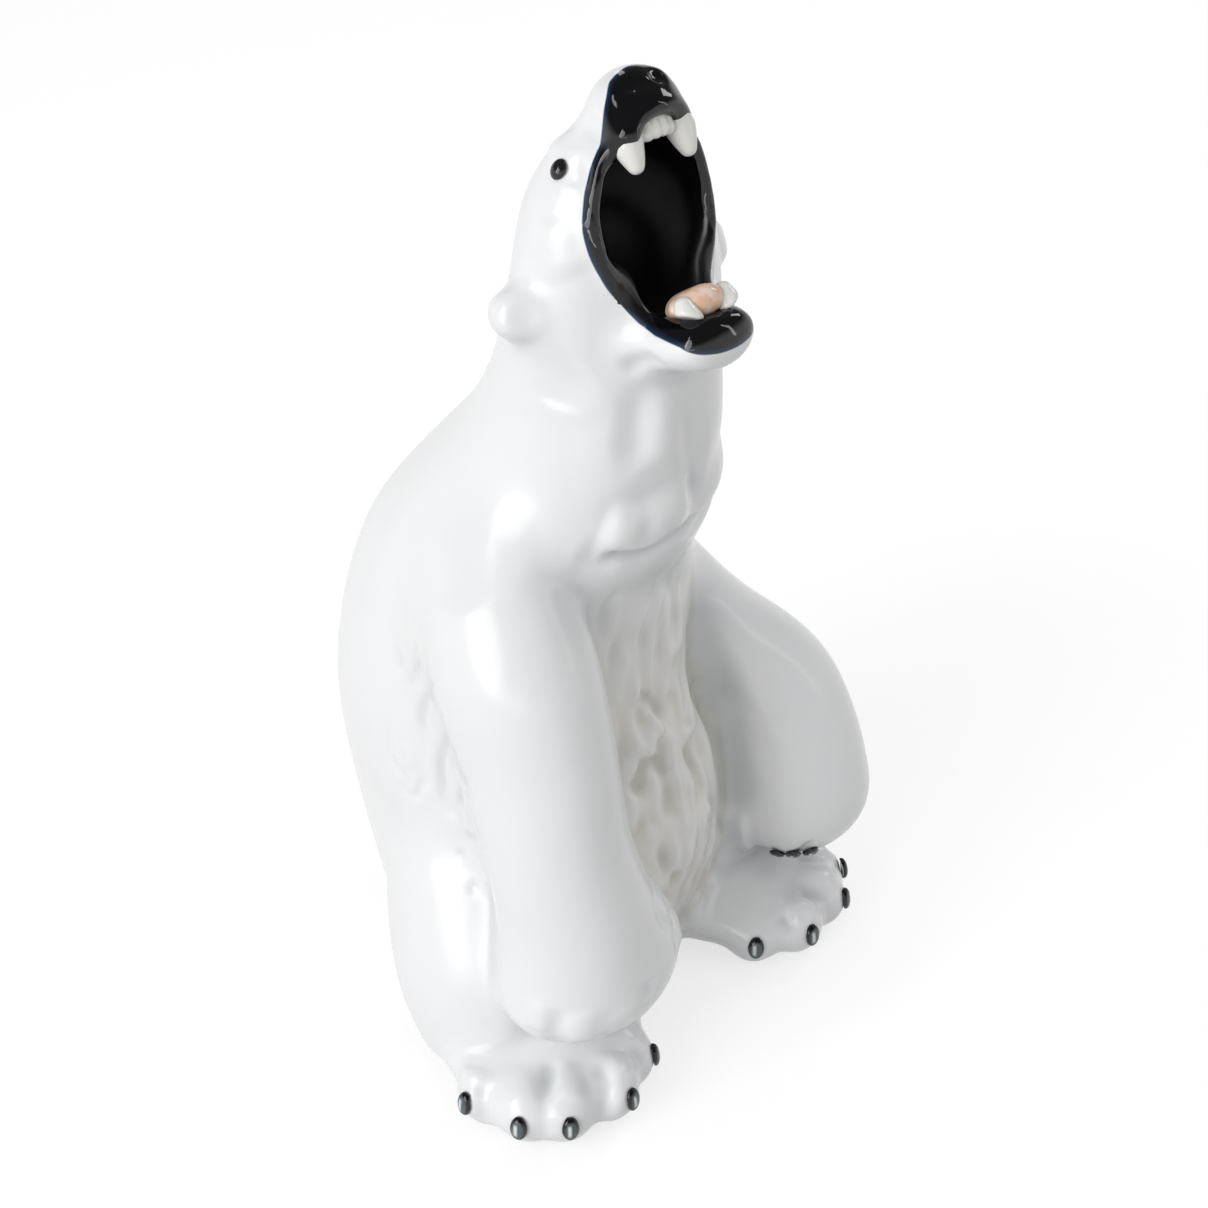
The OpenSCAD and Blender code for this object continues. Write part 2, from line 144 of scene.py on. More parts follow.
class Clay:
    """The neighbours of every point of a mesh, for smoothing."""

    def __init__(self, mesh):
        edges = edges_of(mesh)
        self.count = len(mesh.vertices)
        both_ways = np.concatenate([edges, edges[:, ::-1]])
        both_ways = both_ways[np.argsort(both_ways[:, 0], kind="stable")]
        self.here, self.there = both_ways[:, 0], both_ways[:, 1]
        self.degree = np.bincount(self.here, minlength=self.count)

    def smooth(self, values, strength, rounds):
        """Moves each point's value towards its neighbours' mean, a share of the way each round."""
        active = strength > 1e-4
        there = self.there[active[self.here]]
        degree = self.degree[active]
        starts = np.concatenate([[0], np.cumsum(degree)[:-1]])
        share, degree = strength[active], degree.astype(float)
        if values.ndim == 2:
            share, degree = share[:, None], degree[:, None]
        values = values.copy()
        for _ in range(rounds):
            mean = np.add.reduceat(values[there], starts, axis=0) / degree
            values[active] += share * (mean - values[active])
        return values


def fade(value, low, high):
    t = np.clip((value - low) / (high - low), 0, 1)
    return t * t * (3 - 2 * t)


# Helpers that work on one object at a time

def only(piece):
    bpy.ops.object.select_all(action="DESELECT")
    piece.select_set(True)
    bpy.context.view_layer.objects.active = piece
    return piece


def copied(node):
    mesh = frame["nodes"][node].data.copy()
    mesh.materials.clear()
    piece = bpy.data.objects.new(node + "_copy", mesh)
    bpy.context.scene.collection.objects.link(piece)
    return piece


def joined(pieces):
    bpy.ops.object.select_all(action="DESELECT")
    for piece in pieces:
        piece.select_set(True)
    bpy.context.view_layer.objects.active = pieces[0]
    bpy.ops.object.join()
    return pieces[0]


def welded(piece):
    only(piece)
    bpy.ops.object.mode_set(mode="EDIT")
    bpy.ops.mesh.select_all(action="SELECT")
    bpy.ops.mesh.remove_doubles(threshold=WELD_GAP)
    bpy.ops.object.mode_set(mode="OBJECT")
    return piece


def remeshed(piece, grain):
    only(piece)
    remesh = piece.modifiers.new("clay", "REMESH")
    remesh.mode = "VOXEL"
    remesh.voxel_size = grain
    remesh.use_smooth_shade = True
    bpy.ops.object.modifier_apply(modifier=remesh.name)
    return piece


def finished(piece, name, material, slot, *nodes):
    """Names a piece, gives it its glaze and its place in the part."""
    piece.name = name
    piece.data.name = name
    piece.data.materials.clear()
    piece.data.materials.append(material)
    piece.data.polygons.foreach_set("use_smooth", [True] * len(piece.data.polygons))
    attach(piece, "root")
    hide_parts(*nodes)
    return piece


# Camera, floor and light

def set_up_camera():
    bpy.ops.object.camera_add(location=VIEW_EYE, rotation=(math.pi / 2 - VIEW_RISE, 0, VIEW_TURN))
    camera = bpy.context.object
    camera.data.sensor_width = SENSOR
    camera.data.lens = LENS_PIXELS * SENSOR / PICTURE
    camera.data.clip_start = 0.01
    bpy.context.scene.camera = camera


def seen_or_mirrored(nodes, links):
    """1 for rays from the camera, off gloss or through glass, and 0 for light."""
    path = nodes.new("ShaderNodeLightPath")
    first = nodes.new("ShaderNodeMath")
    second = nodes.new("ShaderNodeMath")
    second.use_clamp = True
    links.new(path.outputs["Is Camera Ray"], first.inputs[0])
    links.new(path.outputs["Is Glossy Ray"], first.inputs[1])
    links.new(first.outputs[0], second.inputs[0])
    links.new(path.outputs["Is Transmission Ray"], second.inputs[1])
    return second.outputs[0]


FLOOR_SIZE = 8
FLOOR_DROP = 0.0003
FLOOR_COLOUR = 0.46
FLOOR_GLOW = 0.66
FILL_LIGHT = 0.50
CEILING = 0.12
CEILING_FROM, CEILING_TO = 0.10, 0.35


def set_up_floor():
    bpy.ops.mesh.primitive_plane_add(size=FLOOR_SIZE, location=(0, 0, -FLOOR_DROP))
    floor = bpy.context.object
    floor.name = "floor"
    paper = bpy.data.materials.new("white_paper")
    paper.use_nodes = True
    nodes, links = paper.node_tree.nodes, paper.node_tree.links
    nodes.clear()
    matt = nodes.new("ShaderNodeBsdfDiffuse")
    matt.inputs["Color"].default_value = (FLOOR_COLOUR, FLOOR_COLOUR, FLOOR_COLOUR, 1)
    glow = nodes.new("ShaderNodeEmission")
    scale = nodes.new("ShaderNodeMath")
    scale.operation = "MULTIPLY"
    scale.inputs[1].default_value = FLOOR_GLOW
    links.new(seen_or_mirrored(nodes, links), scale.inputs[0])
    links.new(scale.outputs[0], glow.inputs["Strength"])
    both = nodes.new("ShaderNodeAddShader")
    links.new(matt.outputs[0], both.inputs[0])
    links.new(glow.outputs[0], both.inputs[1])
    out = nodes.new("ShaderNodeOutputMaterial")
    links.new(both.outputs[0], out.inputs["Surface"])
    floor.data.materials.append(paper)


def set_up_world():
    """A plain fill for light, and for what is seen or mirrored a white room under a dim ceiling."""
    world = bpy.context.scene.world or bpy.data.worlds.new("studio")
    bpy.context.scene.world = world
    world.use_nodes = True
    nodes, links = world.node_tree.nodes, world.node_tree.links
    nodes.clear()

    def background(strength):
        shader = nodes.new("ShaderNodeBackground")
        shader.inputs["Color"].default_value = (1, 1, 1, 1)
        shader.inputs["Strength"].default_value = strength
        return shader.outputs[0]

    def mixed_shaders(factor, first, second):
        mix = nodes.new("ShaderNodeMixShader")
        for value, socket in zip((factor, first, second), mix.inputs):
            links.new(value, socket)
        return mix.outputs[0]

    way = nodes.new("ShaderNodeTexCoord")
    height = nodes.new("ShaderNodeSeparateXYZ")
    links.new(way.outputs["Generated"], height.inputs["Vector"])
    rise = nodes.new("ShaderNodeMapRange")
    rise.inputs["From Min"].default_value = CEILING_FROM
    rise.inputs["From Max"].default_value = CEILING_TO
    links.new(height.outputs["Z"], rise.inputs["Value"])
    room = mixed_shaders(rise.outputs["Result"], background(1), background(CEILING))
    light = mixed_shaders(seen_or_mirrored(nodes, links), background(FILL_LIGHT), room)
    out = nodes.new("ShaderNodeOutputWorld")
    links.new(light, out.inputs["Surface"])


# The window's light, and softboxes that the glaze mirrors: bearing, rise, width, height and watts
WINDOW_BEARING, WINDOW_RISE, WINDOW_FAR = -93, 18, 1.5
WINDOW_LIGHT = 1.35
WINDOW_SPREAD = math.radians(40)
SOFTBOX_FAR = 1.3
SOFTBOX_AIM = (0, 0, 0.2)
SOFTBOXES = {
    "key_strip": (-106, 36, 0.12, 0.90, 1.7),
    "low_strip": (-70, 9, 1.00, 0.035, 0.8),
    "left_box": (80, 43, 0.22, 0.40, 1.4),
    "side_strip": (33, 30, 0.06, 0.90, 0.7),
    "back_strip": (145, 45, 0.10, 0.50, 0.4),
}


def aim(lamp, target):
    lamp.rotation_euler = (Vector(target) - lamp.location).to_track_quat("-Z", "Y").to_euler()


def lamp_place(bearing, rise, far):
    """A place around the bear, by degrees: bearing 0 is its front, 90 its left, and rise is upwards."""
    turn, lift = math.radians(bearing), math.radians(rise)
    level = far * math.cos(lift)
    return (level * math.sin(turn), -level * math.cos(turn), far * math.sin(lift))


def softbox(name, bearing, rise, wide, high, watts):
    bpy.ops.object.light_add(type="AREA", location=lamp_place(bearing, rise, SOFTBOX_FAR))
    box = bpy.context.object
    box.name = name
    box.data.shape = "RECTANGLE"
    box.data.size = wide
    box.data.size_y = high
    box.data.energy = watts
    aim(box, SOFTBOX_AIM)


def set_up_lamps():
    place = lamp_place(WINDOW_BEARING, WINDOW_RISE, WINDOW_FAR)
    bpy.ops.object.light_add(type="SUN", location=place)
    sun = bpy.context.object
    sun.name = "window"
    sun.data.energy = WINDOW_LIGHT
    sun.data.angle = WINDOW_SPREAD
    aim(sun, (0, 0, 0))
    for name, sizes in SOFTBOXES.items():
        softbox(name, *sizes)


set_up_camera()
set_up_floor()
set_up_world()
set_up_lamps()
bpy.context.scene.view_settings.view_transform = "Standard"


# Glazes

def new_material(name):
    material = bpy.data.materials.new(name)
    material.use_nodes = True
    nodes, links = material.node_tree.nodes, material.node_tree.links
    return material, nodes, links, nodes["Principled BSDF"]


def glaze_ripple_group():
    """Uneven glaze: a soft ripple in its height, a drift in its colour and its gloss."""
    group = bpy.data.node_groups.new("glaze_ripple", "ShaderNodeTree")
    face = group.interface
    for name, value in (("Ripple Scale", 90.0), ("Gloss", 0.12), ("Gloss Drift", 0.05)):
        socket = face.new_socket(name, in_out="INPUT", socket_type="NodeSocketFloat")
        socket.default_value = value
    for name in ("Height", "Drift", "Roughness"):
        face.new_socket(name, in_out="OUTPUT", socket_type="NodeSocketFloat")
    nodes, links = group.nodes, group.links
    into, out = nodes.new("NodeGroupInput"), nodes.new("NodeGroupOutput")
    where = nodes.new("ShaderNodeTexCoord")
    ripple = nodes.new("ShaderNodeTexNoise")
    ripple.inputs["Detail"].default_value = 2.0
    drift = nodes.new("ShaderNodeTexNoise")
    drift.inputs["Scale"].default_value = 22.0
    drift.inputs["Detail"].default_value = 3.0
    specks = nodes.new("ShaderNodeTexNoise")
    specks.inputs["Scale"].default_value = 420.0
    specks.inputs["Detail"].default_value = 2.0
    for texture in (ripple, drift, specks):
        links.new(where.outputs["Object"], texture.inputs["Vector"])
    links.new(into.outputs["Ripple Scale"], ripple.inputs["Scale"])
    spread = nodes.new("ShaderNodeMath")
    spread.operation = "MULTIPLY"
    links.new(specks.outputs["Fac"], spread.inputs[0])
    links.new(into.outputs["Gloss Drift"], spread.inputs[1])
    gloss = nodes.new("ShaderNodeMath")
    links.new(into.outputs["Gloss"], gloss.inputs[0])
    links.new(spread.outputs[0], gloss.inputs[1])
    links.new(ripple.outputs["Fac"], out.inputs["Height"])
    links.new(drift.outputs["Fac"], out.inputs["Drift"])
    links.new(gloss.outputs[0], out.inputs["Roughness"])
    return group


RIPPLE = glaze_ripple_group()
RIPPLE_STRENGTH = 0.35
GLAZE_IOR = 1.5


def add_ripple(nodes, links, shader, scale, gloss, drift, depth):
    ripple = nodes.new("ShaderNodeGroup")
    ripple.node_tree = RIPPLE
    ripple.inputs["Ripple Scale"].default_value = scale
    ripple.inputs["Gloss"].default_value = gloss
    ripple.inputs["Gloss Drift"].default_value = drift
    bump = nodes.new("ShaderNodeBump")
    bump.inputs["Strength"].default_value = RIPPLE_STRENGTH
    bump.inputs["Distance"].default_value = depth
    links.new(ripple.outputs["Height"], bump.inputs["Height"])
    links.new(bump.outputs["Normal"], shader.inputs["Normal"])
    links.new(ripple.outputs["Roughness"], shader.inputs["Roughness"])
    shader.inputs["IOR"].default_value = GLAZE_IOR
    return ripple


def attribute_value(nodes, name):
    reader = nodes.new("ShaderNodeAttribute")
    reader.attribute_name = name
    return reader.outputs["Fac"]


def ranged(nodes, links, value, low, high, to_low=0.0, to_high=1.0):
    step = nodes.new("ShaderNodeMapRange")
    step.interpolation_type = "SMOOTHSTEP"
    for name, number in (("From Min", low), ("From Max", high), ("To Min", to_low), ("To Max", to_high)):
        step.inputs[name].default_value = number
    links.new(value, step.inputs["Value"])
    return step.outputs["Result"]


def math_node(nodes, links, operation, *values):
    step = nodes.new("ShaderNodeMath")
    step.operation = operation
    for value, socket in zip(values, step.inputs):
        if isinstance(value, float):
            socket.default_value = value
        else:
            links.new(value, socket)
    return step.outputs[0]


def mixed(nodes, links, factor, first, second):
    mix = nodes.new("ShaderNodeMix")
    mix.data_type = "RGBA"
    links.new(factor, mix.inputs["Factor"])
    for value, socket in ((first, mix.inputs["A"]), (second, mix.inputs["B"])):
        if isinstance(value, tuple):
            socket.default_value = (*value, 1)
        else:
            links.new(value, socket)
    return mix.outputs["Result"]


WHITE = (0.885, 0.89, 0.90)
# The hollows' colours, for the white and for the cream: partly glaze pooled greyer, partly painted shade
POOLED_AND_SHADED = (0.68, 0.70, 0.71)
CREAM = (0.82, 0.795, 0.715)
STRAW_AND_SHADED = (0.60, 0.57, 0.48)
INK = (0.003, 0.003, 0.004)
NAVY = (0.008, 0.030, 0.075)
IVORY, IVORY_SHADE = (0.90, 0.90, 0.88), (0.84, 0.83, 0.79)
JET, JET_SHADE = (0.010, 0.010, 0.012), (0.016, 0.016, 0.018)
FLESH, FLESH_PALE, FLESH_DARK = (0.87, 0.58, 0.40), (0.96, 0.85, 0.75), (0.74, 0.40, 0.24)
# Claw colours; the last one is a painted highlight
HORN, HORN_PALE, HORN_HIGHLIGHT = (0.03, 0.045, 0.05), (0.12, 0.15, 0.16), (0.72, 0.75, 0.75)

# Roughness of the white, the share of it that the paint has, and what the depth of the mouth adds
WHITE_GLOSS, WHITE_GLOSS_DRIFT = 0.21, 0.05
PAINT_POLISH = 0.24
DEEP_DULL = 0.55


def porcelain():
    """White porcelain under clear glaze, with black painted over it where the skin says so.
    The paint is glossier than the white, and dull deep in the mouth."""
    material, nodes, links, shader = new_material("white_porcelain")
    ripple = add_ripple(nodes, links, shader, 60.0, WHITE_GLOSS, WHITE_GLOSS_DRIFT, 0.0004)
    # Hollows take a greyer colour: partly glaze that pools there, partly painted shade
    hollow = ranged(nodes, links, attribute_value(nodes, "hollow"), 0.0, 1.0)
    cream = attribute_value(nodes, "cream")
    raised = mixed(nodes, links, cream, WHITE, CREAM)
    pooled_and_shaded = mixed(nodes, links, cream, POOLED_AND_SHADED, STRAW_AND_SHADED)
    clay = mixed(nodes, links, hollow, raised, pooled_and_shaded)
    wander = math_node(nodes, links, "MULTIPLY_ADD", ripple.outputs["Drift"], 1.2, -0.6)
    edge = math_node(nodes, links, "ADD", attribute_value(nodes, "ink_mm"), wander)
    ink = mixed(nodes, links, ranged(nodes, links, edge, 0.2, 1.8), NAVY, INK)
    painted = ranged(nodes, links, edge, -0.25, 0.25)
    links.new(mixed(nodes, links, painted, clay, ink), shader.inputs["Base Color"])
    polish = ranged(nodes, links, painted, 0.0, 1.0, 1.0, PAINT_POLISH)
    gloss = math_node(nodes, links, "MULTIPLY", ripple.outputs["Roughness"], polish)
    dull = math_node(nodes, links, "MULTIPLY_ADD", attribute_value(nodes, "deep"), DEEP_DULL, gloss)
    links.new(dull, shader.inputs["Roughness"])
    return material


def glazed(name, colour, shade, gloss=0.10):
    material, nodes, links, shader = new_material(name)
    ripple = add_ripple(nodes, links, shader, 160.0, gloss, 0.04, 0.0003)
    links.new(mixed(nodes, links, ripple.outputs["Drift"], colour, shade), shader.inputs["Base Color"])
    return material


def tongue_glaze():
    material, nodes, links, shader = new_material("tongue_glaze")
    ripple = add_ripple(nodes, links, shader, 200.0, 0.12, 0.05, 0.0005)
    where = nodes.new("ShaderNodeTexCoord")
    turn = nodes.new("ShaderNodeMapping")
    turn.inputs["Scale"].default_value = (420, 130, 420)
    streaks = nodes.new("ShaderNodeTexNoise")
    streaks.inputs["Scale"].default_value = 1.0
    streaks.inputs["Detail"].default_value = 4.0
    links.new(where.outputs["Object"], turn.inputs["Vector"])
    links.new(turn.outputs["Vector"], streaks.inputs["Vector"])
    pale = ranged(nodes, links, streaks.outputs["Fac"], 0.35, 0.65)
    dark = ranged(nodes, links, ripple.outputs["Drift"], 0.45, 0.75)
    flesh = mixed(nodes, links, dark, mixed(nodes, links, pale, FLESH, FLESH_PALE), FLESH_DARK)
    links.new(flesh, shader.inputs["Base Color"])
    return material


def claw_glaze():
    """Claws: black at the rim, grey teal in the middle, with a painted highlight, a pale band along the
    ridge.
    """
    material, nodes, links, shader = new_material("claw_glaze")
    ripple = add_ripple(nodes, links, shader, 260.0, 0.08, 0.04, 0.0002)
    rim = attribute_value(nodes, "rim")
    horn = mixed(nodes, links, ripple.outputs["Drift"], HORN, HORN_PALE)
    horn = mixed(nodes, links, attribute_value(nodes, "highlight_streak"), horn, HORN_HIGHLIGHT)
    links.new(mixed(nodes, links, rim, horn, INK), shader.inputs["Base Color"])
    return material


PORCELAIN = porcelain()
TOOTH = glazed("tooth_glaze", IVORY, IVORY_SHADE)
EYE = glazed("eye_glaze", JET, JET_SHADE, 0.05)
CLAW = claw_glaze()
TONGUE = tongue_glaze()


def curve_through(knots, per_span=6):
    """A smooth line through a few knots."""
    knots = np.asarray(knots, float)
    if len(knots) == 1:
        return np.vstack([knots, knots])
    ends = np.vstack([knots[:1], knots, knots[-1:]])
    line = []
    for k in range(len(knots) - 1):
        a, b, c, d = ends[k:k + 4]
        for t in np.arange(per_span) / per_span:
            line.append(0.5 * (2 * b + (c - a) * t + (2 * a - 5 * b + 4 * c - d) * t**2
                               + (3 * b - a - 3 * c + d) * t**3))
    return np.vstack([line, knots[-1:]])


# Lips: border of the paint around the mouth, by angle from the top, distance from the middle and depth
LIP_BORDER = [
    (0, 42.0, 1.0), (10, 41.0, 1.6), (15, 38.6, 2.1), (22, 34.1, 0.1), (30, 29.9, -2.3), (42, 27.5, -6.3),
    (58, 25.0, -10.2), (74, 23.4, -13.2), (90, 22.3, -15.0), (106, 21.5, -16.4), (131, 21.9, -18.0),
    (146, 25.5, -16.7), (152, 31.0, -11.2), (158, 35.1, -4.7), (169, 37.8, -1.2), (180, 38.2, -0.5),
]
LIP_ANGLES, LIP_REACH, LIP_DEPTH = (np.array(column) for column in zip(*LIP_BORDER))

# The mouth cavity's half width and half height by depth, and where it ends
CAVITY_OUT = np.array([-42.0, -32.0, -21.0, 0.0, 14.0])
CAVITY_WIDE = np.array([6.0, 14.0, 20.0, 22.0, 26.0])
CAVITY_HIGH = np.array([7.0, 15.0, 23.0, 28.0, 32.0])
CAVITY_END = -46


def mouth_polar(where):
    across, up, out = in_mouth_frame(where)
    reach = np.hypot(across, up)
    angle = np.degrees(np.arctan2(np.abs(across), up))
    return across, up, out, reach, angle


def cavity_reach(out, angle):
    wide = np.interp(out, CAVITY_OUT, CAVITY_WIDE)
    high = np.interp(out, CAVITY_OUT, CAVITY_HIGH)
    turn = np.radians(angle)
    return 1 / np.hypot(np.sin(turn) / wide, np.cos(turn) / high)


def ring_in_mouth(first, last, reach_off, depth_off, side, drift=0.0):
    """A line around the mouth, beside the paint's border, on one side of the head.
    Drift is how much further out it runs at its end than at its start."""
    angles = np.linspace(first, last, 24)
    reach = np.interp(angles, LIP_ANGLES, LIP_REACH) + reach_off + np.linspace(0, drift, 24)
    depth = np.interp(angles, LIP_ANGLES, LIP_DEPTH) + depth_off
    return np.array([
        mouth_point(side * r * math.sin(math.radians(a)), r * math.cos(math.radians(a)), o)
        for a, r, o in zip(angles, reach, depth)
    ])


# The white skin, one lump of clay around all the castings

def clay_roll(name, spots, thickness):
    """A roll of clay along a line, thinner at its ends."""
    line = bpy.data.curves.new(name, "CURVE")
    line.dimensions = "3D"
    line.bevel_depth = thickness * MM
    line.bevel_resolution = 5
    line.use_fill_caps = True
    spline = line.splines.new("POLY")
    spline.points.add(len(spots) - 1)
    for k, spot in enumerate(spots):
        spline.points[k].co = (*spot, 1)
        spline.points[k].radius = 0.3 + 0.7 * fade(min(k, len(spots) - 1 - k), 0, 5)
    roll = bpy.data.objects.new(name, line)
    bpy.context.scene.collection.objects.link(roll)
    only(roll)
    bpy.ops.object.convert(target="MESH")
    return roll


def lips_and_gums():
    """Rolls of clay for the lips, the corners of the mouth, fuller on the right, the upper gum, and
    its collars over the roots of the canines."""
    rolls = []
    for side, full in ((-1, 1.0), (1, 0.6)):
        rolls.append(clay_roll("lip", ring_in_mouth(20, 143, -1.8, 1.8, side), 2.5))
        inner = ring_in_mouth(56, 138, -1.6 - 3.0 * full, -1.8, side)
        rolls.append(clay_roll("inner_lip", inner, 1.1 + 1.5 * full))
        corner = ring_in_mouth(98, 152, -0.6 - 4.0 * full, -1.5, side, -3.2 * full)
        rolls.append(clay_roll("mouth_corner", corner, 1.7 + 2.7 * full))
    arch = [(-13, 19, -6), (-12.4, 23.5, 0), (-9.5, 27, 4), (-5, 29.4, 6.6), (0, 30.2, 7.6),
            (5, 29.4, 6.6), (9.5, 27, 4), (12.4, 23.5, 0), (13, 19, -6)]
    rolls.append(clay_roll("gum", curve_through([mouth_point(*spot) for spot in arch], 4), 3.3))
    collar = [(6.2, 27.6, 6.4), (8.6, 26.3, 5.2), (11.0, 25.0, 3.4), (12.8, 23.0, 0.5)]
    for side, thickness, back in ((-1, 4.1, 0.0), (1, 3.1, 1.2)):
        line = curve_through([mouth_point(side * (a - back), u, o - back) for a, u, o in collar], 4)
        rolls.append(clay_roll("gum_collar", line, thickness))
    return rolls


# The vent under the seat, closed a little way in, the slit at the top of the right foreleg, and the
# groove behind it
VENT_PLUG = 4.6 * MM
VENT = (0, 28 * MM, 6.1 * MM)
PLUG_RADIUS = 9 * MM
SHOULDER_ROLL, FLANK_ROLL = 8.0, 8.5
SHOULDER_SEAM = [(-47, 27, 181), (-49.5, 20, 187), (-50.5, 11, 190), (-48, 2, 191)]
FLANK_SEAM = [
    (-48.5, 28, 180), (-54, 24, 160), (-54.8, 19, 150), (-55, 14.7, 140), (-54.5, 10.3, 130),
    (-54, 6.2, 120), (-53.4, 2.8, 110), (-53, 0.2, 100), (-53, -2.5, 90), (-51, -4, 78),
]


def lump_of_clay():
    pieces = [welded(copied(node)) for node in CASTINGS]
    bpy.ops.mesh.primitive_cylinder_add(radius=PLUG_RADIUS, depth=VENT_PLUG, location=VENT)
    plug = bpy.context.object
    shoulder = clay_roll("shoulder", curve_through(np.array(SHOULDER_SEAM) * MM), SHOULDER_ROLL)
    flank = clay_roll("flank", curve_through(np.array(FLANK_SEAM) * MM), FLANK_ROLL)
    skin = joined(pieces + [plug, shoulder, flank] + lips_and_gums())
    return remeshed(skin, CLAY_GRAIN)


SAMPLE_GAP = 2 * MM


def samples(node):
    """Points spread evenly over a node's faces."""
    mesh = frame["nodes"][node].data
    mesh.calc_loop_triangles()
    corners = np.empty(len(mesh.loop_triangles) * 3, np.int32)
    mesh.loop_triangles.foreach_get("vertices", corners)
    a, b, c = np.moveaxis(points_of(mesh)[corners.reshape(-1, 3)], 1, 0)
    area = np.linalg.norm(np.cross(b - a, c - a), axis=1) / 2
    which = np.repeat(np.arange(len(area)), np.ceil(area / SAMPLE_GAP ** 2).astype(int))
    step = np.arange(len(which))
    u, v = (step * 0.7548776662) % 1, (step * 0.5698402910) % 1
    over = u + v > 1
    u, v = np.where(over, 1 - u, u)[:, None], np.where(over, 1 - v, v)[:, None]
    return a[which] * (1 - u - v) + b[which] * u + c[which] * v


def nearest_casting(points):
    """For each point, the number of the casting that lies nearest."""
    spread = [samples(node) for node in CASTINGS]
    tree = KDTree(sum(len(s) for s in spread))
    for number, cloud in enumerate(spread):
        for point in cloud:
            tree.insert(point, number)
    tree.balance()
    return np.array([tree.find(p)[1] for p in points])


def keep_outside(piece):
    """Drops the closed hollows inside the castings, which no one sees."""
    only(piece)
    mesh = piece.data
    top = int(points_of(mesh)[:, 2].argmax())
    bpy.ops.object.mode_set(mode="EDIT")
    bpy.ops.mesh.select_mode(type="VERT")
    bpy.ops.mesh.select_all(action="DESELECT")
    bpy.ops.object.mode_set(mode="OBJECT")
    mesh.vertices[top].select = True
    bpy.ops.object.mode_set(mode="EDIT")
    bpy.ops.mesh.select_linked()
    bpy.ops.mesh.select_all(action="INVERT")
    bpy.ops.mesh.delete(type="VERT")
    bpy.ops.object.mode_set(mode="OBJECT")
    return piece


skin = keep_outside(lump_of_clay())
clay = Clay(skin.data)
points = points_of(skin.data)
ALL_OVER = np.ones(len(points))
RUB = 0.9


def settled_castings(labels):
    """Evens out the seams between the castings, so that no speck of one lies in another."""
    shares = [(labels == number).astype(float) for number in range(len(CASTINGS))]
    return np.argmax([clay.smooth(share, ALL_OVER * RUB, 24) for share in shares], axis=0)


casting = settled_castings(nearest_casting(points))


def on(*names):
    return np.isin(casting, [CASTINGS.index(name) for name in names])


HEAD = on("head_casting", "lower_jaw", "right_ear", "left_ear")
FORELEGS = on("right_foreleg", "left_foreleg")
HIND_LEGS = on("right_hind_leg", "left_hind_leg")

# How soft each casting's clay is when the seams are rubbed over
SOFTNESS = {
    "torso_casting": 1.0, "head_casting": 0.4, "lower_jaw": 0.3, "tail": 0.5,
    "right_ear": 0.35, "left_ear": 0.35, "right_foreleg": 1.0, "left_foreleg": 1.0,
    "right_hind_leg": 0.9, "left_hind_leg": 0.9,
}


def rub_seams(points):
    """Rubs the castings over where their clay is soft, then gives the broad shape back."""
    soft = np.array([SOFTNESS[name] for name in CASTINGS])[casting]
    height = points[:, 2]
    soft = np.where(FORELEGS, soft * (0.35 + 0.65 * fade(height, 48 * MM, 85 * MM)), soft)
    soft = np.where(HIND_LEGS, soft * (0.3 + 0.7 * fade(height, 26 * MM, 62 * MM)), soft)
    across, up, out = in_mouth_frame(points)
    mouth = (np.hypot(across, up) < 36) & (out > CAVITY_END) & HEAD
    soft = np.where(mouth, 0.10, soft)
    soft = clay.smooth(soft, ALL_OVER * RUB, 14)
    soft = soft * fade(np.linalg.norm(points - VENT, axis=1), 12 * MM, 18 * MM)
    seat = points[:, 2] < 0.4 * MM
    rubbed = clay.smooth(points, soft * RUB, 90)
    rubbed = rubbed + clay.smooth(points - rubbed, ALL_OVER * RUB, 70)
    rubbed[seat, 2] = points[seat, 2]
    return rubbed


def seam_between(first, second):
    """The points at which two kinds of casting meet."""
    crossing = first[clay.here] & second[clay.there]
    meet = np.zeros(len(points), bool)
    meet[clay.here[crossing]] = True
    meet[clay.there[crossing]] = True
    return meet


def fill_seams(points):
    """Fills the creases where the limbs, the ears and the tail were luted on. The crease between a
    foreleg and the fur of the belly stays."""
    torso, head, jaw = on("torso_casting"), on("head_casting"), on("lower_jaw")
    x, y, z = (points / MM).T
    outer = np.maximum(np.maximum(fade(np.abs(x), 44, 58), fade(z, 186, 204)), fade(y, 18, 36))
    cheek = fade(-in_mouth_frame(points)[2], 12, 20)
    seam = seam_between(torso, HIND_LEGS) * fade(z, 12, 30)
    seam = np.maximum(seam, seam_between(torso, FORELEGS) * outer)
    seam = np.maximum(seam, seam_between(torso, head))
    seam = np.maximum(seam, seam_between(torso, on("tail")) * 0.12)
    seam = np.maximum(seam, seam_between(head, on("right_ear", "left_ear")) * 0.18)
    seam = np.maximum(seam, seam_between(head, jaw) * 0.4 * cheek)
    seam = np.clip(clay.smooth(seam, ALL_OVER * RUB, 110) / 0.10, 0, 1)
    return clay.smooth(points, seam * RUB, 200)


points = fill_seams(rub_seams(points))
put_points(skin.data, points)


# Sculpting strokes

def surface():
    return BVHTree.FromObject(skin, bpy.context.evaluated_depsgraph_get())


def distance_to(line, where):
    """How far each point lies from a line, and how far along the line, from 0 to 1."""
    best = np.full(len(where), 1e9)
    along = np.zeros(len(where))
    span = len(line) - 1
    for k in range(span):
        a, way = line[k], line[k + 1] - line[k]
        length = max(float(way @ way), 1e-18)
        t = np.clip((where - a) @ way / length, 0, 1)
        gap = np.linalg.norm(where - a - t[:, None] * way, axis=1)
        closer = gap < best
        best = np.where(closer, gap, best)
        along = np.where(closer, (k + t) / span, along)
    return best, along


